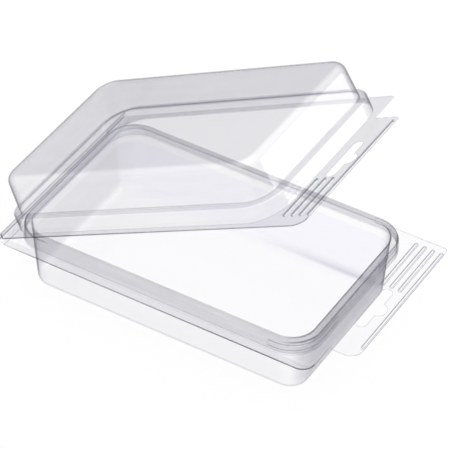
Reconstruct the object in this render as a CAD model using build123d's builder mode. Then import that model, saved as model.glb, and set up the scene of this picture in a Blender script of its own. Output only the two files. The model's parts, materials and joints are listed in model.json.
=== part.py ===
"""Clear thermoformed clamshell pack: a tray with a snap rim, a hinged domed lid and hang tabs with slots.

Millimetres, +Z up. The origin is the centre of the tray's flat underside, +X points from the hinge to the
hang tabs. The lid stands open by lid_opening, as it does when the pack is left to itself.
"""
import os
from math import cos, radians, sin, tan

from build123d import *

# Sheet and the running clearances between tray and lid
sheet = 0.4
flange_gap = 0.3
rim_clearance = 0.3

# Tray: the opening is measured inside the rim's crest
cavity_length = 164.8
cavity_width = 100.0
cavity_corner = 13.0
tray_depth = 38.0
wall_draft = 4.2
floor_radius = 4.0

# Snap rim: an upside-down channel that stands on the flange, wider at its foot
rim_width = 4.0
rim_height = 8.1
rim_draft = 1.5
crest_radius = 1.0
foot_height = 1.2
foot_step = 0.3
foot_radius = 0.4

# Flange around the rim, from the rim's foot to the sheet's cut edge
flange_side = 4.4
flange_tab_end = 4.4
flange_hinge_end = 0.8
near_corner = 7.0
far_corner = 2.5

# Hang tabs: each is cut away beside one corner, so that a finger can part them
tab_depth = 15.3
tab_cutaway = 21.1
slot_length = 32.0
slot_height = 6.0
slot_inset = 1.5
slot_centre_y = 0.0
slot_bump_radius = 5.0
slot_bump_inset = 1.0

# Grip ribs pressed into the tabs
rib_width = 1.3
rib_depth = 0.6
rib_pitch = 4.9
rib_edge_inset = 1.4
rib_end_inset = 1.5
rib_slot_gap = 1.5
short_rib_count = 3

# Snap lugs on the rim's wall, round the two corners at the tab end
lug_height = 3.6
lug_proud = 0.3
lug_drop = 1.7
lug_end_run = 16.0
lug_side_run = 3.5

# Lid: a band that slips over the rim, a shoulder and a domed upper box
band_draft = 1.5
shoulder_gap = 0.5
shoulder_width = 3.9
shoulder_radius = 0.8
dome_height = 20.8
dome_draft = 3.9
dome_corner = 13.0
dome_radius = 4.9

# Living hinge: a lip on the lid, a strip of bare sheet and the line that the lid turns about
hinge_setback = 6.5
lip_height = 3.0
film_thickness = 0.3
film_bulge = 1.2
film_gap = 0.15
lid_opening = 27.1

# Levels above the tray's underside
crest_z = tray_depth
flange_z = crest_z - rim_height

# Rim and band outlines, measured at the flange
foot_spread = foot_step + rim_height * tan(radians(rim_draft))
foot_length = cavity_length + 2 * (rim_width + foot_spread)
foot_width = cavity_width + 2 * (rim_width + foot_spread)
foot_corner = cavity_corner + rim_width + foot_spread
band_length = foot_length + 2 * (rim_clearance + sheet)
band_width = foot_width + 2 * (rim_clearance + sheet)
band_corner = foot_corner + rim_clearance + sheet
band_height = rim_height + shoulder_gap + sheet - flange_gap

# Flange outline
hinge_x = -foot_length / 2 - flange_hinge_end
flange_end_x = foot_length / 2 + flange_tab_end
tab_end_x = flange_end_x + tab_depth
flange_half_width = foot_width / 2 + flange_side

# Planes: the flange, the crest seen from above, and the lid's own flange, which is tilted with the lid
flange_plane = Plane.XY.offset(flange_z)
crest_plane = Plane.XY.offset(crest_z)
lid_turn = radians(lid_opening)
axis_x = hinge_x - hinge_setback
lid_x_dir = Vector(cos(lid_turn), 0, sin(lid_turn))
lid_z_dir = Vector(-sin(lid_turn), 0, cos(lid_turn))
lid_origin = Vector(axis_x, 0, flange_z) - axis_x * lid_x_dir + flange_gap * lid_z_dir
lid_plane = Plane(origin=lid_origin, x_dir=lid_x_dir, z_dir=lid_z_dir)


def drafted_block(plane, length, width, corner, height, draft, edge_radius):
    """A block with rounded corners that narrows away from its plane, its far edge rounded."""
    with BuildPart() as block:
        with BuildSketch(plane):
            RectangleRounded(length, width, corner)
        extrude(amount=height, taper=draft)
        far_face = block.faces().sort_by(Axis(plane.origin, plane.z_dir))[-1]
        fillet(far_face.edges(), edge_radius)
    return block.part


def flange_outline(cutaway_side):
    """The flange with its hang tab; the tab is missing beside the corner on cutaway_side."""
    tab_length = 2 * flange_half_width - tab_cutaway
    notch = Vector(flange_end_x, cutaway_side * (flange_half_width - tab_cutaway))
    with BuildSketch() as outline:
        with Locations(((hinge_x + flange_end_x) / 2, 0)):
            Rectangle(flange_end_x - hinge_x, 2 * flange_half_width)
        with Locations((flange_end_x + tab_depth / 2, -cutaway_side * tab_cutaway / 2)):
            Rectangle(tab_depth, tab_length)
        for side, radius in ((-1, near_corner), (1, far_corner)):
            corners = outline.vertices().filter_by(lambda v: v.X > 0 and v.Y * side > 0)
            fillet(corners.filter_by(lambda v: (v.center() - notch).length > radius), radius)
        slot_outer_x = flange_end_x + slot_inset + slot_height
        with Locations((slot_outer_x - slot_height / 2, slot_centre_y)):
            SlotOverall(slot_length, slot_height, rotation=90, mode=Mode.SUBTRACT)
        with Locations((slot_outer_x - slot_bump_inset, slot_centre_y)):
            Circle(slot_bump_radius, mode=Mode.SUBTRACT)
    return outline.sketch


def ribs(cutaway_side, width, shrink):
    """Sketch of the grip ribs: short ones on the half away from the cutaway, one along the tab's edge."""
    near_end = -flange_half_width + near_corner + rib_end_inset + (tab_cutaway if cutaway_side < 0 else 0)
    far_end = flange_half_width - far_corner - rib_end_inset - (tab_cutaway if cutaway_side > 0 else 0)
    tab_end = near_end if cutaway_side > 0 else far_end
    slot_end = slot_centre_y - cutaway_side * (slot_length / 2 + rib_slot_gap)
    outer_x = tab_end_x - rib_edge_inset
    with BuildSketch() as pattern:
        for step in range(1, short_rib_count + 1):
            with Locations((outer_x - step * rib_pitch, (tab_end + slot_end) / 2)):
                SlotOverall(abs(tab_end - slot_end) - shrink, width, rotation=90)
        with Locations((outer_x, (near_end + far_end) / 2)):
            SlotOverall(far_end - near_end - shrink, width, rotation=90)
    return pattern.sketch


def corner_lug(side):
    """Flat snap lug along the rim's wall at the tab end, carried round the corner on one side."""
    lug_z = crest_z - lug_drop - lug_height / 2
    inset = foot_step + (lug_z - flange_z) * tan(radians(rim_draft)) + (sheet - lug_proud) / 2
    wall_x = foot_length / 2 - inset
    wall_y = foot_width / 2 - inset
    turn = foot_corner - inset
    with BuildPart() as lug:
        with BuildLine():
            end_run = Line((wall_x, side * (wall_y - turn - lug_end_run), lug_z),
                           (wall_x, side * (wall_y - turn), lug_z))
            corner = TangentArc(end_run @ 1, (wall_x - turn, side * wall_y, lug_z), tangent=end_run % 1)
            Line(corner @ 1, corner @ 1 - (lug_side_run, 0, 0))
        with BuildSketch(Plane(origin=end_run @ 0, x_dir=(1, 0, 0), z_dir=end_run % 0)):
            Rectangle(lug_proud + sheet, lug_height)
        sweep()
    return lug.part


# Tray
tray_bowl = drafted_block(-crest_plane, cavity_length + 2 * sheet, cavity_width + 2 * sheet,
                          cavity_corner + sheet, tray_depth, wall_draft, floor_radius + sheet)
tray_space = drafted_block(-crest_plane, cavity_length, cavity_width,
                           cavity_corner, tray_depth - sheet, wall_draft, floor_radius)
rim_skin = drafted_block(flange_plane, foot_length - 2 * foot_step, foot_width - 2 * foot_step,
                         foot_corner - foot_step, rim_height, rim_draft, crest_radius)
rim_inset = 2 * (foot_step + sheet)
rim_space = drafted_block(flange_plane, foot_length - rim_inset, foot_width - rim_inset,
                          foot_corner - rim_inset / 2, rim_height - sheet, rim_draft, crest_radius - sheet)
foot_skin = drafted_block(flange_plane, foot_length, foot_width, foot_corner, foot_height, rim_draft,
                          foot_radius)
foot_space = drafted_block(flange_plane.offset(-sheet), foot_length - 2 * sheet, foot_width - 2 * sheet,
                           foot_corner - sheet, foot_height, rim_draft, foot_radius)
tray_flange = flange_outline(cutaway_side=-1)
tray_rib_ridges = ribs(-1, rib_width + 2 * sheet, 0)
tray_rib_grooves = ribs(-1, rib_width, 2 * sheet)
snap_lugs = [corner_lug(side) for side in (-1, 1)]

with BuildPart() as base_tray:
    with BuildSketch(flange_plane):
        add(tray_flange)
    extrude(amount=-sheet)
    with BuildSketch(flange_plane.offset(-sheet)):
        add(tray_rib_ridges)
    extrude(amount=-rib_depth)
    with BuildSketch(flange_plane):
        add(tray_rib_grooves)
    extrude(amount=-rib_depth, mode=Mode.SUBTRACT)
    add(foot_skin)
    add(rim_skin)
    for lug in snap_lugs:
        add(lug)
    add(foot_space, mode=Mode.SUBTRACT)
    add(rim_space, mode=Mode.SUBTRACT)
    add(tray_bowl)
    add(tray_space, mode=Mode.SUBTRACT)
base_tray.part.label = "base_tray"

# Lid
band_skin = drafted_block(lid_plane, band_length, band_width, band_corner, band_height, band_draft,
                          shoulder_radius)
band_space = drafted_block(lid_plane, band_length - 2 * sheet, band_width - 2 * sheet, band_corner - sheet,
                           band_height - sheet, band_draft, shoulder_radius)
shoulder_plane = lid_plane.offset(band_height - sheet)
dome_inset = 2 * (shoulder_width + band_height * tan(radians(band_draft)))
dome_skin = drafted_block(shoulder_plane, band_length - dome_inset, band_width - dome_inset, dome_corner,
                          dome_height + sheet, dome_draft, dome_radius)
dome_space = drafted_block(shoulder_plane, band_length - dome_inset - 2 * sheet,
                           band_width - dome_inset - 2 * sheet, dome_corner - sheet,
                           dome_height, dome_draft, dome_radius - sheet)
lid_flange = flange_outline(cutaway_side=1)
lid_rib_ridges = ribs(1, rib_width + 2 * sheet, 0)
lid_rib_grooves = ribs(1, rib_width, 2 * sheet)

with BuildPart() as lid:
    with BuildSketch(lid_plane):
        add(lid_flange)
    extrude(amount=sheet)
    with BuildSketch(lid_plane.offset(sheet)):
        add(lid_rib_ridges)
    extrude(amount=rib_depth)
    with BuildSketch(lid_plane):
        add(lid_rib_grooves)
    extrude(amount=rib_depth, mode=Mode.SUBTRACT)
    add(band_skin)
    add(dome_skin)
    add(band_space, mode=Mode.SUBTRACT)
    add(dome_space, mode=Mode.SUBTRACT)
    with BuildSketch(lid_plane):
        with Locations((hinge_x + sheet / 2, 0)):
            Rectangle(sheet, 2 * flange_half_width)
    extrude(amount=lip_height)
lid.part.label = "lid"

# Living hinge: the strip stands on the flange's cut edge and bows out to the lid's lip
section_plane = Plane.XZ.offset(-flange_half_width)
lip_top = lid_plane.from_local_coords(Vector(hinge_x - film_gap, 0, lip_height))
film_root = Vector(hinge_x, flange_z - sheet)
film_start = Vector(hinge_x, flange_z)
film_end = Vector(lip_top.X, lip_top.Z)
film_middle = (film_start + film_end) / 2 - Vector(film_bulge, 0)

with BuildPart() as living_hinge:
    with BuildSketch(section_plane):
        with BuildLine():
            Line(film_root, film_start)
            ThreePointArc(film_start, film_middle, film_end)
            offset(amount=film_thickness, side=Side.LEFT)
        make_face()
    extrude(amount=2 * flange_half_width)
living_hinge.part.label = "living_hinge"

os.makedirs("parts", exist_ok=True)
for piece in (base_tray, lid, living_hinge):
    export_step(piece.part, f"parts/{piece.part.label}.step")
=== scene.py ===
"""Looks of the clear clamshell pack: sheet, film of the living hinge, stage, light and camera."""
import json
from collections import namedtuple
from math import cos, radians, sin

import bmesh
import bpy
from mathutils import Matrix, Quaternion, Vector


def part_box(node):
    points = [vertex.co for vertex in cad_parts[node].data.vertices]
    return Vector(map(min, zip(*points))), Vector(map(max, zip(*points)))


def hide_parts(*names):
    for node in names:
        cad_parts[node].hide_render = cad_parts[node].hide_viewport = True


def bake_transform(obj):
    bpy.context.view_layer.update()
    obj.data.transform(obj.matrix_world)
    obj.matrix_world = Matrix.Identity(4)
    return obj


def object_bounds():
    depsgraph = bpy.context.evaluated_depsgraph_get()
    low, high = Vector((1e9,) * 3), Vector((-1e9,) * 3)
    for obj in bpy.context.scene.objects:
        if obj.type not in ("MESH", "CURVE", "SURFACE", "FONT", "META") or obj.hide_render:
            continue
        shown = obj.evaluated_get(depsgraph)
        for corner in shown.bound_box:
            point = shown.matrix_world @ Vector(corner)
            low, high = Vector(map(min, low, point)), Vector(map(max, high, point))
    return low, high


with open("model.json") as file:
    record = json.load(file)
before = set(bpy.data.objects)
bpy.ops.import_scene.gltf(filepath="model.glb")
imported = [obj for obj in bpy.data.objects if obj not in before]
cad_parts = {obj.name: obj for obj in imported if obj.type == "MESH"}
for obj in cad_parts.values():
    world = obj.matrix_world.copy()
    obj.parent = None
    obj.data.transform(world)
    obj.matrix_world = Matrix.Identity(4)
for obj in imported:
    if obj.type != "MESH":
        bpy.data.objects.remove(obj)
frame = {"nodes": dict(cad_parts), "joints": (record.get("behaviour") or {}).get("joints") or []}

cad_low, cad_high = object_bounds()

# Hinge and outline of the pack; lengths are in metres
HINGE = frame["joints"][0]
AXIS = Vector(HINGE["pos_m"])
OPENING = radians(-HINGE["range_deg"][0])
FLANGE_Z = AXIS.z
HALF_WIDTH = cad_high[1]
TAB_END = cad_high[0]
TAB_DEPTH = 0.0153
FLANGE_END = TAB_END - TAB_DEPTH

# Living hinge: a film from the tray's flange edge to the lid's lip
SHEET = 0.0004
FLANGE_GAP = 0.0003
LIP_HEIGHT = 0.003
FILM_THICKNESS = 0.0003
FILM_BULGE = 0.0012
FILM_GAP = 0.00015
FILM_STEPS = 16

# Clear sheet: what one face lets through, from square on (0) to edge on (1)
FACING_BLEND = 0.5
TINTS = (
    (0.00, (0.994, 0.994, 0.996)),
    (0.35, (0.993, 0.993, 0.998)),
    (0.60, (0.926, 0.925, 0.938)),
    (0.70, (0.900, 0.898, 0.915)),
    (0.82, (0.620, 0.615, 0.640)),
    (1.00, (0.150, 0.148, 0.160)),
)

# Gloss of the sheet, and the slow waves that forming leaves in it
MIRROR_SQUARE = 0.04
MIRROR_EDGE_ON = 0.55
MIRROR_FALLOFF = 5.0
GLOSS_ROUGHNESS = (0.05, 0.14)
NOISE_RANGE = (0.0, 1.0)
SMEAR_SCALE = 60.0
SMEAR_DETAIL = 6.0
WAVE_SCALE = 22.0
WAVE_DETAIL = 2.0
WAVE_HEIGHT = 0.00025

# Level streaks of noise that break up the painted shade on the walls and rim
STREAK_SCALE = 260.0
STREAK_DETAIL = 2.0
STREAK_GRAIN = (0.06, 0.06, 1.0)
STREAK_RANGE = (0.3, 0.7)
STREAK_SHARE = (0.75, 1.15)

# Rim of the tray: middle line of its channel seen from above, and the painted shade on it, which is strongest
# in front
RIM_HALF_LENGTH = 0.0844
RIM_HALF_WIDTH = 0.0520
RIM_CORNER = 0.0150
RIM_SHADE_TINT = (0.85, 0.85, 0.86)
RIM_OUTSIDE = (0.0, 0.0005)
RIM_FOOT = (0.0002, 0.0010)
RIM_CREST = (0.0071, 0.0076)
RIM_SHARE_BACK = 0.75
RIM_SHARE_HINGE = 0.35
BACK_TO_FRONT = (-0.05, 0.05)
HINGE_END = (-0.084, -0.074)

# Flange along the front, a little darker
FLANGE_TINT = (0.95, 0.95, 0.955)
FLANGE_FRONT = -0.0545

# Painted shade on the end walls of the tray, darker at the tab end
END_SHADE_TINT = (0.876, 0.874, 0.885)
END_TILT = (0.5, 0.9)
END_SPAN = (-0.05, 0.05)
END_SHARE_HINGE = 0.25

# Painted dark lines stand for the shading of rounded edges: the crest's at the pack's ends, the lugs' and the
# lid's step
LINE_WIDTH = (0.0002, 0.0005)
CREST_TINT = (0.45, 0.45, 0.48)
CREST_EDGE = 0.0018
CREST_SPAN = (0.072, 0.082)
HINGE_LINE_TINT = (0.48, 0.48, 0.51)
HINGE_LINE_WIDTH = (0.0003, 0.0010)
HINGE_LINE_SPAN = (0.062, 0.080)
LUG_TINT = (0.60, 0.60, 0.63)
LUG_FACE = 0.0022
LUG_EDGES = (0.0028, 0.0064)
STEP_TINT = (0.70, 0.70, 0.73)
STEP_HEIGHT = 0.0096
STEP_SHARE_FRONT = 0.5

# The tray's rounded foot hardly shows, but for a soft painted shade line along the back wall that fades
# toward the hinge
FOOT_TINT = (0.992, 0.992, 0.997)
FOOT_HEIGHT = (0.003, 0.007)
FOOT_SHARE = 0.55
FOOT_LINE_TINT = (0.87, 0.87, 0.89)
FOOT_LINE_MIDDLE = 0.0452
FOOT_LINE_WIDTH = (0.0004, 0.0024)
FOOT_LINE_SPAN = (0.0, 0.055)

# Painted shade on the walls of the lid; the back walls of both halves get a little more
DOME_SHADE_TINT = (0.943, 0.943, 0.947)
DOME_STEEP = (0.3, 0.8)
DOME_SHARE_FRONT = 0.56
BACK_SHADE_TINT = (0.982, 0.977, 0.999)
BACK_WALL = (0.038, 0.046)

# Sharp folds trap light, so they show as thin dark lines, fainter at the hinge
FOLD_TINT = (0.50, 0.50, 0.53)
FOLD_RADIUS = 0.0003
FOLD_SAMPLES = 4
FOLD_GAIN = 5.0
FOLD_SHARE_HINGE = 0.35
FOLD_HINGE_END = (-0.0868, -0.0850)

# Painted shade of the grip ribs on the tabs: dark outlines on the tray, single dark lines on the lid
RIB_TINT = (0.14, 0.14, 0.17)
RIB_CORE_TINT = (0.60, 0.60, 0.63)
RIB_EDGE_INSET = 0.0014
RIB_ROWS_DEPTH = 0.0174
RIB_PROUD = 0.0020
RIB_OUTER = TAB_END - RIB_EDGE_INSET
RIB_START = TAB_END - RIB_ROWS_DEPTH
RIB_TOP = FLANGE_Z + RIB_PROUD
RIB_PITCH = 0.0049
RIB_REACH = 0.00115
RIB_CORE = 0.0005
RIB_FREE_OF_SLOT = 0.0175
LID_RIB_FRONT = -0.0504
LID_RIB_BACK = 0.0338

# Painted dark line at the cut edge along the front, with the round corner that ends it
EDGE_TINT = (0.40, 0.40, 0.43)
EDGE_CORNER = 0.0070
EDGE_BAND = (-0.0007, -0.00035)
TRAY_EDGE_START = (-0.090, -0.070)
TRAY_EDGE_SPAN = (0.0, 0.05)
TRAY_EDGE_SHARE = 0.62
LID_EDGE_SPAN = (-0.04, 0.06)
LID_EDGE_SHARE = 0.67

# Stage
FLOOR_SIZE = 8.0
FLOOR_DROP = 0.0001
FLOOR_COLOUR = (0.95, 0.95, 0.95)
FLOOR_WHITE_SHARE = 0.90
SQUARE = ((-1, -1), (1, -1), (1, 1), (-1, 1))

# Light
WHITE = (1.0, 1.0, 1.0)
ROOM_LOW = (0.40, 0.40, 0.43)
ROOM_STRENGTH = 1.1
SOFTBOXES = (
    ("softbox_top", (-0.6, -0.5, 2.2), 3.0, 14.0),
    ("softbox_back_right", (1.1, 0.95, 0.45), 0.9, 9.0),
)
CLEAR_LAYERS = 64

# Camera, fitted to the photograph's straight edges
CAMERA_EYE = Vector((0.601442, -1.007200, 1.052662))
CAMERA_AIM = Vector((-0.004469, 0.021135, 0.023254))
CAMERA_ROLL = 1.097
CAMERA_SENSOR = 36.0
CAMERA_LENS = 243.57

# Above every point of the pack: heights counted from here are negative, so distances outward leave them out
OVERHEAD = 1.0

# Factors that swap front and back
MIRROR_ACROSS = (1, -1, 1)

# A point of the sheet in the shut pack: its place, whole and by axis, how its face is tilted, and its streaks
Spot = namedtuple("Spot", "place length across height along_tilt up_tilt streak")

# A point against the tray's rim: reach past the corner centres, share above the flange, share on the crest
Rim = namedtuple("Rim", "reach above crest")


def opaque(colour):
    """A colour with full alpha."""
    return (*colour, 1.0)


def new_material(name):
    """An empty node material, its tree and its output node."""
    material = bpy.data.materials.new(name)
    material.use_nodes = True
    material.node_tree.nodes.clear()
    output = material.node_tree.nodes.new("ShaderNodeOutputMaterial")
    return material, material.node_tree, output


def math_node(tree, operation, first, second=0.0):
    """A math node; each input is a number or a socket."""
    node = tree.nodes.new("ShaderNodeMath")
    node.operation = operation
    for socket, value in zip(node.inputs, (first, second)):
        if isinstance(value, (int, float)):
            socket.default_value = value
        else:
            tree.links.new(value, socket)
    return node.outputs[0]


def vector_node(tree, operation, first, second=(0, 0, 0)):
    """A vector math node; each input is a triple or a socket."""
    node = tree.nodes.new("ShaderNodeVectorMath")
    node.operation = operation
    for socket, value in zip(node.inputs, (first, second)):
        if isinstance(value, tuple):
            socket.default_value = value
        else:
            tree.links.new(value, socket)
    return node.outputs["Value"] if operation in ("LENGTH", "DOT_PRODUCT") else node.outputs["Vector"]


def times(tree, *values):
    """Product of masks and numbers."""
    product = values[0]
    for value in values[1:]:
        product = math_node(tree, "MULTIPLY", product, value)
    return product


def negative(tree, value):
    return times(tree, value, -1.0)


def less_from_one(tree, value):
    return math_node(tree, "SUBTRACT", 1.0, value)


def size_of(tree, value):
    return math_node(tree, "ABSOLUTE", value)


def larger(tree, first, second):
    return math_node(tree, "MAXIMUM", first, second)


def below(tree, value, limit):
    return math_node(tree, "LESS_THAN", value, limit)


def over(tree, value, limit):
    return math_node(tree, "GREATER_THAN", value, limit)


def ramp_up(tree, value, band, start=0.0):
    """0 below a band that is counted from the start, 1 above it and straight between."""
    node = tree.nodes.new("ShaderNodeMapRange")
    node.inputs["From Min"].default_value = start + band[0]
    node.inputs["From Max"].default_value = start + band[1]
    tree.links.new(value, node.inputs["Value"])
    return node.outputs["Result"]


def ramp_down(tree, value, band, start=0.0):
    """1 below a band that is counted from the start, 0 above it and straight between."""
    return less_from_one(tree, ramp_up(tree, value, band, start))


def share_up(tree, value, band, least):
    """Rises from a least share below the band to 1 above it."""
    return math_node(tree, "ADD", times(tree, ramp_up(tree, value, band), 1.0 - least), least)


def line_at(tree, value, middle, width=LINE_WIDTH):
    """1 on a line where the value equals its middle, 0 beside it."""
    off = size_of(tree, math_node(tree, "SUBTRACT", value, middle))
    return ramp_down(tree, off, width)


def past_corner(tree, place, corner_x, corner_y):
    """How far a place lies outside the centre of a round corner, seen from above."""
    off = vector_node(tree, "SUBTRACT", place, (corner_x, corner_y, OVERHEAD))
    return vector_node(tree, "LENGTH", vector_node(tree, "MAXIMUM", off))


def noise(tree, coords, scale, detail):
    node = tree.nodes.new("ShaderNodeTexNoise")
    node.inputs["Scale"].default_value = scale
    node.inputs["Detail"].default_value = detail
    tree.links.new(coords, node.inputs["Vector"])
    return node.outputs["Fac"]


def spread(tree, value, source, target):
    """Stretches one range of values to another."""
    node = tree.nodes.new("ShaderNodeMapRange")
    for name, number in zip(("From Min", "From Max", "To Min", "To Max"), (*source, *target)):
        node.inputs[name].default_value = number
    tree.links.new(value, node.inputs["Value"])
    return node.outputs["Result"]


def blend_colour(tree, mode, factor, first, tint):
    """Blends a fixed tint into a colour where the factor is above 0."""
    node = tree.nodes.new("ShaderNodeMix")
    node.data_type = "RGBA"
    node.blend_type = mode
    node.clamp_factor = True
    tree.links.new(factor, node.inputs["Factor"])
    tree.links.new(first, node.inputs["A"])
    node.inputs["B"].default_value = opaque(tint)
    return node.outputs["Result"]


def darken(tree, factor, colour, tint):
    return blend_colour(tree, "MULTIPLY", factor, colour, tint)


def cover(tree, factor, colour, tint):
    return blend_colour(tree, "MIX", factor, colour, tint)


def mix_shaders(tree, factor, first, second):
    """A mix of two shaders; the factor is a number or a socket."""
    node = tree.nodes.new("ShaderNodeMixShader")
    if isinstance(factor, float):
        node.inputs[0].default_value = factor
    else:
        tree.links.new(factor, node.inputs[0])
    tree.links.new(first, node.inputs[1])
    tree.links.new(second, node.inputs[2])
    return node.outputs[0]


def turned(tree, vector, centre, swing):
    """A place or a normal turned about the hinge's direction, whole and by axis."""
    node = tree.nodes.new("ShaderNodeVectorRotate")
    node.rotation_type = "Y_AXIS"
    node.inputs["Center"].default_value = centre
    node.inputs["Angle"].default_value = swing
    tree.links.new(vector, node.inputs["Vector"])
    parts = tree.nodes.new("ShaderNodeSeparateXYZ")
    tree.links.new(node.outputs[0], parts.inputs[0])
    return node.outputs[0], parts.outputs


def streaks(tree, place):
    """Strength of the painted shade, in streaks that run level."""
    grain = vector_node(tree, "MULTIPLY", place, STREAK_GRAIN)
    return spread(tree, noise(tree, grain, STREAK_SCALE, STREAK_DETAIL), STREAK_RANGE, STREAK_SHARE)


def shut_spot(tree, swing):
    """Where a point of an open half is in the shut pack, which the swing brings it to."""
    coords = tree.nodes.new("ShaderNodeTexCoord")
    place, (length, across, height) = turned(tree, coords.outputs["Object"], AXIS, swing)
    _, (along_tilt, _, up_tilt) = turned(tree, coords.outputs["Normal"], (0, 0, 0), swing)
    return Spot(place, length, across, height, along_tilt, up_tilt, streaks(tree, place))


def tray_rim(tree, spot):
    """Masks that tell where a point is against the tray's rim."""
    corner_x = RIM_HALF_LENGTH - RIM_CORNER
    corner_y = RIM_HALF_WIDTH - RIM_CORNER
    reach = past_corner(tree, vector_node(tree, "ABSOLUTE", spot.place), corner_x, corner_y)
    above = ramp_up(tree, spot.height, RIM_FOOT, FLANGE_Z)
    crest = ramp_up(tree, spot.height, RIM_CREST, FLANGE_Z)
    return Rim(reach, above, crest)


def rim_painted_shade(tree, spot, rim, colour):
    """Painted shade on the rim's outer wall and crest."""
    outer_wall = times(tree, ramp_up(tree, rim.reach, RIM_OUTSIDE, RIM_CORNER), rim.above)
    frontness = share_up(tree, negative(tree, spot.across), BACK_TO_FRONT, RIM_SHARE_BACK)
    rim_shade = times(tree, larger(tree, outer_wall, rim.crest), spot.streak, frontness,
                 share_up(tree, spot.length, HINGE_END, RIM_SHARE_HINGE))
    return darken(tree, rim_shade, colour, RIM_SHADE_TINT)


def flange_front_darkening(tree, spot, rim, colour):
    """Faint darkening of the flange along the front."""
    flange = times(tree, less_from_one(tree, rim.above), below(tree, spot.across, FLANGE_FRONT))
    return darken(tree, flange, colour, FLANGE_TINT)


def end_wall_painted_shade(tree, spot, rim, colour):
    """Painted shade on the tray's end walls, below its rim."""
    ends = ramp_up(tree, size_of(tree, spot.along_tilt), END_TILT)
    tab_end = share_up(tree, spot.length, END_SPAN, END_SHARE_HINGE)
    ends = times(tree, ends, tab_end, less_from_one(tree, rim.above), spot.streak)
    return darken(tree, ends, colour, END_SHADE_TINT)


def crest_lines(tree, spot, rim, colour):
    """Painted dark lines along the crest's rounded edges: both at the tab end, and a broader outer one at the
    hinge.
    """
    outer, inner = (line_at(tree, rim.reach, RIM_CORNER + edge) for edge in (CREST_EDGE, -CREST_EDGE))
    to_tab = ramp_up(tree, spot.length, CREST_SPAN)
    rounding = times(tree, larger(tree, outer, inner), rim.crest, to_tab)
    colour = darken(tree, rounding, colour, CREST_TINT)

    broad = line_at(tree, rim.reach, RIM_CORNER + CREST_EDGE, HINGE_LINE_WIDTH)
    to_hinge = ramp_up(tree, negative(tree, spot.length), HINGE_LINE_SPAN)
    return darken(tree, times(tree, broad, rim.crest, to_hinge), colour, HINGE_LINE_TINT)


def lug_lines(tree, spot, rim, colour):
    """Painted shade lines along the lower and upper edges of the snap lugs."""
    low, high = (line_at(tree, spot.height, FLANGE_Z + edge) for edge in LUG_EDGES)
    on_lug = over(tree, rim.reach, RIM_CORNER + LUG_FACE)
    return darken(tree, times(tree, on_lug, larger(tree, low, high)), colour, LUG_TINT)


def tray_back(tree, spot, colour):
    """Cool painted shade on the tray's back wall, and the soft painted shade line where it meets the floor.
    """
    back = times(tree, ramp_up(tree, spot.across, BACK_WALL), below(tree, spot.height, FLANGE_Z - SHEET))
    colour = darken(tree, back, colour, BACK_SHADE_TINT)
    line = times(tree,
                 line_at(tree, spot.across, FOOT_LINE_MIDDLE, FOOT_LINE_WIDTH),
                 ramp_down(tree, spot.height, FOOT_HEIGHT),
                 ramp_up(tree, spot.length, FOOT_LINE_SPAN))
    return darken(tree, line, colour, FOOT_LINE_TINT)


def tray_marks(tree, spot, colour, mirror):
    """Painted shade and lines of the tray, and its gloss, which is weaker at the foot."""
    rim = tray_rim(tree, spot)
    for mark in (rim_painted_shade, flange_front_darkening, end_wall_painted_shade, crest_lines, lug_lines):
        colour = mark(tree, spot, rim, colour)
    foot = times(tree, ramp_down(tree, spot.height, FOOT_HEIGHT), FOOT_SHARE)
    colour = cover(tree, foot, colour, FOOT_TINT)
    return tray_back(tree, spot, colour), times(tree, mirror, less_from_one(tree, foot))


def lid_marks(tree, spot, colour):
    """Painted shade on the lid's walls, and a painted dark line where the dome meets its step."""
    steep = less_from_one(tree, size_of(tree, spot.up_tilt))
    backness = share_up(tree, spot.across, BACK_WALL, DOME_SHARE_FRONT)
    walls = times(tree, ramp_up(tree, steep, DOME_STEEP), backness, spot.streak)
    colour = darken(tree, walls, colour, DOME_SHADE_TINT)
    step = times(tree, line_at(tree, spot.height, FLANGE_Z + STEP_HEIGHT),
                 share_up(tree, spot.across, BACK_WALL, STEP_SHARE_FRONT))
    return darken(tree, step, colour, STEP_TINT)


def fold_mask(tree):
    """Above 0 close to a sharp fold, where a rounded normal differs from the face's own."""
    rounded = tree.nodes.new("ShaderNodeBevel")
    rounded.samples = FOLD_SAMPLES
    rounded.inputs["Radius"].default_value = FOLD_RADIUS
    flat = tree.nodes.new("ShaderNodeNewGeometry").outputs["Normal"]
    same = vector_node(tree, "DOT_PRODUCT", rounded.outputs["Normal"], flat)
    return times(tree, less_from_one(tree, same), FOLD_GAIN)


def fold_lines(tree, spot, colour, is_lid):
    """Painted dark lines along the folds; on the grip ribs they are darker, as painted shade of the ribs."""
    fold = fold_mask(tree)
    from_outer = math_node(tree, "SUBTRACT", spot.length, RIB_OUTER)
    from_rib = math_node(tree, "PINGPONG", from_outer, RIB_PITCH / 2)
    on_outer = over(tree, spot.length, RIB_OUTER - RIB_REACH)
    off_slot = over(tree, size_of(tree, spot.across), RIB_FREE_OF_SLOT)
    on_rib = times(tree,
                   below(tree, from_rib, RIB_REACH),
                   larger(tree, off_slot, on_outer),
                   over(tree, spot.length, RIB_START))
    plain = times(tree, fold, less_from_one(tree, on_rib),
                  share_up(tree, spot.length, FOLD_HINGE_END, FOLD_SHARE_HINGE))
    colour = cover(tree, plain, colour, FOLD_TINT)
    if not is_lid:
        return cover(tree, times(tree, on_rib, fold), colour, RIB_TINT)

    # Only the outermost of the lid's ribs runs on to the back; the others lie in front of the slot
    back_end = times(tree, on_outer, LID_RIB_BACK)
    core = times(tree, on_rib,
                 below(tree, from_rib, RIB_CORE),
                 over(tree, spot.across, LID_RIB_FRONT),
                 below(tree, spot.across, back_end),
                 below(tree, spot.height, RIB_TOP))
    return cover(tree, core, colour, RIB_CORE_TINT)


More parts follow.
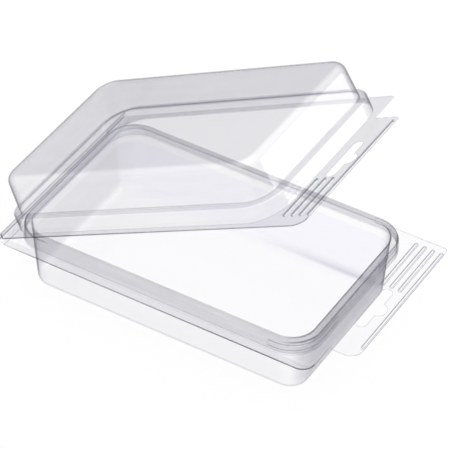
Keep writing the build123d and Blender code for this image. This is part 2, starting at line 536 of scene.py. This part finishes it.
def front_edge(tree, spot, colour, is_lid):
    """Painted dark line of the cut edge along the front and round its corner, fading along its length."""
    corner_x = (TAB_END if is_lid else FLANGE_END) - EDGE_CORNER
    corner_y = HALF_WIDTH - EDGE_CORNER
    reach = past_corner(tree, vector_node(tree, "MULTIPLY", spot.place, MIRROR_ACROSS), corner_x, corner_y)
    in_front = below(tree, spot.across, -corner_y)
    if is_lid:
        fade = share_up(tree, negative(tree, spot.length), LID_EDGE_SPAN, LID_EDGE_SHARE)
    else:
        fade = times(tree, ramp_up(tree, spot.length, TRAY_EDGE_START),
                     share_up(tree, spot.length, TRAY_EDGE_SPAN, TRAY_EDGE_SHARE))
    edge = times(tree, ramp_up(tree, reach, EDGE_BAND, EDGE_CORNER), in_front, fade)
    return cover(tree, edge, colour, EDGE_TINT)


def wavy_normal(tree, spot):
    """Normal of a sheet with slow waves in it."""
    wave = tree.nodes.new("ShaderNodeBump")
    wave.inputs["Distance"].default_value = WAVE_HEIGHT
    tree.links.new(noise(tree, spot.place, WAVE_SCALE, WAVE_DETAIL), wave.inputs["Height"])
    return wave.outputs["Normal"]


def facing_of(tree, normal):
    """How edge on the sheet is seen: 0 square on, 1 edge on."""
    layer = tree.nodes.new("ShaderNodeLayerWeight")
    layer.inputs["Blend"].default_value = FACING_BLEND
    tree.links.new(normal, layer.inputs["Normal"])
    return layer.outputs["Facing"]


def facing_tint(tree, facing):
    """Colour that the plain sheet lets through."""
    tint = tree.nodes.new("ShaderNodeValToRGB")
    stops = tint.color_ramp.elements
    while len(stops) < len(TINTS):
        stops.new(1.0)
    for stop, (position, shade) in zip(stops, TINTS):
        stop.position = position
        stop.color = opaque(shade)
    tree.links.new(facing, tint.inputs["Fac"])
    return tint.outputs["Color"]


def mirror_share(tree, facing):
    """Share of the light that the plain sheet mirrors."""
    rise = math_node(tree, "POWER", facing, MIRROR_FALLOFF)
    return math_node(tree, "ADD", times(tree, rise, MIRROR_EDGE_ON - MIRROR_SQUARE), MIRROR_SQUARE)


def gloss_shader(tree, spot, normal):
    """Gloss that is smeared unevenly."""
    gloss = tree.nodes.new("ShaderNodeBsdfGlossy")
    smear = noise(tree, spot.place, SMEAR_SCALE, SMEAR_DETAIL)
    tree.links.new(spread(tree, smear, NOISE_RANGE, GLOSS_ROUGHNESS), gloss.inputs["Roughness"])
    tree.links.new(normal, gloss.inputs["Normal"])
    return gloss.outputs[0]


def clear_sheet(name, swing, is_lid):
    """Thin clear sheet of one half: it tints what is behind it and mirrors, both more so edge on."""
    material, tree, output = new_material(name)
    spot = shut_spot(tree, swing)
    normal = wavy_normal(tree, spot)
    facing = facing_of(tree, normal)
    colour = facing_tint(tree, facing)
    mirror = mirror_share(tree, facing)

    if is_lid:
        colour = lid_marks(tree, spot, colour)
    else:
        colour, mirror = tray_marks(tree, spot, colour, mirror)
    colour = fold_lines(tree, spot, colour, is_lid)
    colour = front_edge(tree, spot, colour, is_lid)

    through = tree.nodes.new("ShaderNodeBsdfTransparent")
    tree.links.new(colour, through.inputs["Color"])
    sheet = mix_shaders(tree, mirror, through.outputs[0], gloss_shader(tree, spot, normal))
    tree.links.new(sheet, output.inputs["Surface"])
    return material


def floor_material():
    """Pale floor that takes shadows and shows white to the camera and to what mirrors it."""
    material, tree, output = new_material("floor")
    diffuse = tree.nodes.new("ShaderNodeBsdfDiffuse")
    diffuse.inputs["Color"].default_value = opaque(FLOOR_COLOUR)
    white = tree.nodes.new("ShaderNodeEmission")
    lit = mix_shaders(tree, FLOOR_WHITE_SHARE, diffuse.outputs[0], white.outputs[0])
    path = tree.nodes.new("ShaderNodeLightPath")
    seen = larger(tree, path.outputs["Is Camera Ray"], path.outputs["Is Glossy Ray"])
    seen = larger(tree, seen, path.outputs["Is Transmission Ray"])
    tree.links.new(mix_shaders(tree, seen, diffuse.outputs[0], lit), output.inputs["Surface"])
    return material


def square_left(vector):
    """A unit vector square to another one, in the plane of the film's section."""
    return Vector((-vector.z, 0, vector.x)).normalized()


def film_ends():
    """Where the film leaves the tray's flange and where it meets the lid's lip, at rest."""
    edge_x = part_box("living_hinge")[1].x
    start = Vector((edge_x, 0, FLANGE_Z))
    reach = edge_x - FILM_GAP - AXIS.x
    rise = FLANGE_GAP + LIP_HEIGHT
    end_x = reach * cos(OPENING) - rise * sin(OPENING)
    end_z = reach * sin(OPENING) + rise * cos(OPENING)
    return start, AXIS + Vector((end_x, 0, end_z))


def film_section(start, end):
    """Inner and outer points of the film's section, which bows outward in a parabola."""
    outward = square_left(end - start)
    inner = [start - Vector((0, 0, SHEET))]
    for step in range(FILM_STEPS + 1):
        t = step / FILM_STEPS
        inner.append(start.lerp(end, t) + outward * FILM_BULGE * 4 * t * (1 - t))
    outer = []
    for index, point in enumerate(inner):
        before = inner[max(index - 1, 0)]
        after = inner[min(index + 1, len(inner) - 1)]
        outer.append(point + square_left(after - before) * FILM_THICKNESS)
    return inner, outer


def film_mesh(inner, outer, half_width):
    """A closed strip with the given section."""
    work = bmesh.new()
    rows = {}
    for side in (-1, 1):
        for name, path in (("inner", inner), ("outer", outer)):
            rows[name, side] = [work.verts.new((p.x, side * half_width, p.z)) for p in path]
    last = len(inner) - 1
    for i in range(last):
        for name in ("inner", "outer"):
            work.faces.new([rows[name, -1][i], rows[name, 1][i], rows[name, 1][i + 1], rows[name, -1][i + 1]])
        for side in (-1, 1):
            work.faces.new([rows["inner", side][i], rows["inner", side][i + 1],
                            rows["outer", side][i + 1], rows["outer", side][i]])
    for i in (0, last):
        work.faces.new([rows["inner", -1][i], rows["outer", -1][i], rows["outer", 1][i], rows["inner", 1][i]])
    bmesh.ops.recalc_face_normals(work, faces=work.faces)
    mesh = bpy.data.meshes.new("hinge_film")
    work.to_mesh(mesh)
    work.free()
    return mesh


def hinge_film():
    """The film between tray and lid: it stands on the flange's edge and bows out to the lid's lip."""
    start, end = film_ends()
    inner, outer = film_section(start, end)
    film = bpy.data.objects.new("hinge_film", film_mesh(inner, outer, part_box("living_hinge")[1].y))
    bpy.context.scene.collection.objects.link(film)
    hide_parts("living_hinge")
    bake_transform(film)
    return film


def make_floor():
    """A wide square just under the pack."""
    half = FLOOR_SIZE / 2
    mesh = bpy.data.meshes.new("floor")
    mesh.from_pydata([(x * half, y * half, -FLOOR_DROP) for x, y in SQUARE], [], [(0, 1, 2, 3)])
    floor = bpy.data.objects.new("floor", mesh)
    bpy.context.scene.collection.objects.link(floor)
    mesh.materials.append(floor_material())


def make_room():
    """Soft room light, brighter overhead than at the horizon; the camera sees it as white."""
    world = bpy.data.worlds.new("room")
    world.use_nodes = True
    bpy.context.scene.world = world
    tree = world.node_tree
    direction = tree.nodes.new("ShaderNodeTexCoord").outputs["Generated"]
    parts = tree.nodes.new("ShaderNodeSeparateXYZ")
    tree.links.new(direction, parts.inputs[0])
    ramp = tree.nodes.new("ShaderNodeValToRGB")
    ramp.color_ramp.elements[0].color = opaque(ROOM_LOW)
    ramp.color_ramp.elements[1].color = opaque(WHITE)
    tree.links.new(parts.outputs["Z"], ramp.inputs["Fac"])
    room = tree.nodes["Background"]
    room.inputs["Strength"].default_value = ROOM_STRENGTH
    tree.links.new(ramp.outputs["Color"], room.inputs["Color"])
    white = tree.nodes.new("ShaderNodeBackground")
    white.inputs["Color"].default_value = opaque(WHITE)
    seen = tree.nodes.new("ShaderNodeLightPath").outputs["Is Camera Ray"]
    surface = tree.nodes["World Output"].inputs["Surface"]
    tree.links.new(mix_shaders(tree, seen, room.outputs[0], white.outputs[0]), surface)


def look_along(direction):
    """Turn that points a lamp or a camera along a direction."""
    return direction.to_track_quat("-Z", "Y")


def make_softboxes():
    """Square lamps turned to the pack; the camera doesn't see them."""
    for name, place, size, watts in SOFTBOXES:
        light = bpy.data.lights.new(name, "AREA")
        light.size = size
        light.energy = watts
        box = bpy.data.objects.new(name, light)
        box.location = place
        box.rotation_mode = "QUATERNION"
        box.rotation_quaternion = look_along(CAMERA_AIM - Vector(place))
        box.visible_camera = False
        bpy.context.scene.collection.objects.link(box)


def make_camera():
    """Camera at the photograph's viewing angle, rolled as the photograph is."""
    data = bpy.data.cameras.new("camera")
    data.sensor_width = CAMERA_SENSOR
    data.lens = CAMERA_LENS
    camera = bpy.data.objects.new("camera", data)
    camera.location = CAMERA_EYE
    camera.rotation_mode = "QUATERNION"
    roll = Quaternion((0, 0, 1), radians(CAMERA_ROLL))
    camera.rotation_quaternion = look_along(CAMERA_AIM - CAMERA_EYE) @ roll
    bpy.context.scene.collection.objects.link(camera)
    bpy.context.scene.camera = camera


scene = bpy.context.scene
scene.view_settings.view_transform = "Standard"
scene.cycles.transparent_max_bounces = CLEAR_LAYERS

tray_sheet = clear_sheet("clear_sheet_tray", 0.0, False)
lid_sheet = clear_sheet("clear_sheet_lid", OPENING, True)
frame["nodes"]["base_tray"].material_slots[0].material = tray_sheet
frame["nodes"]["lid"].material_slots[0].material = lid_sheet
hinge_film().data.materials.append(tray_sheet)

make_floor()
make_room()
make_softboxes()
make_camera()
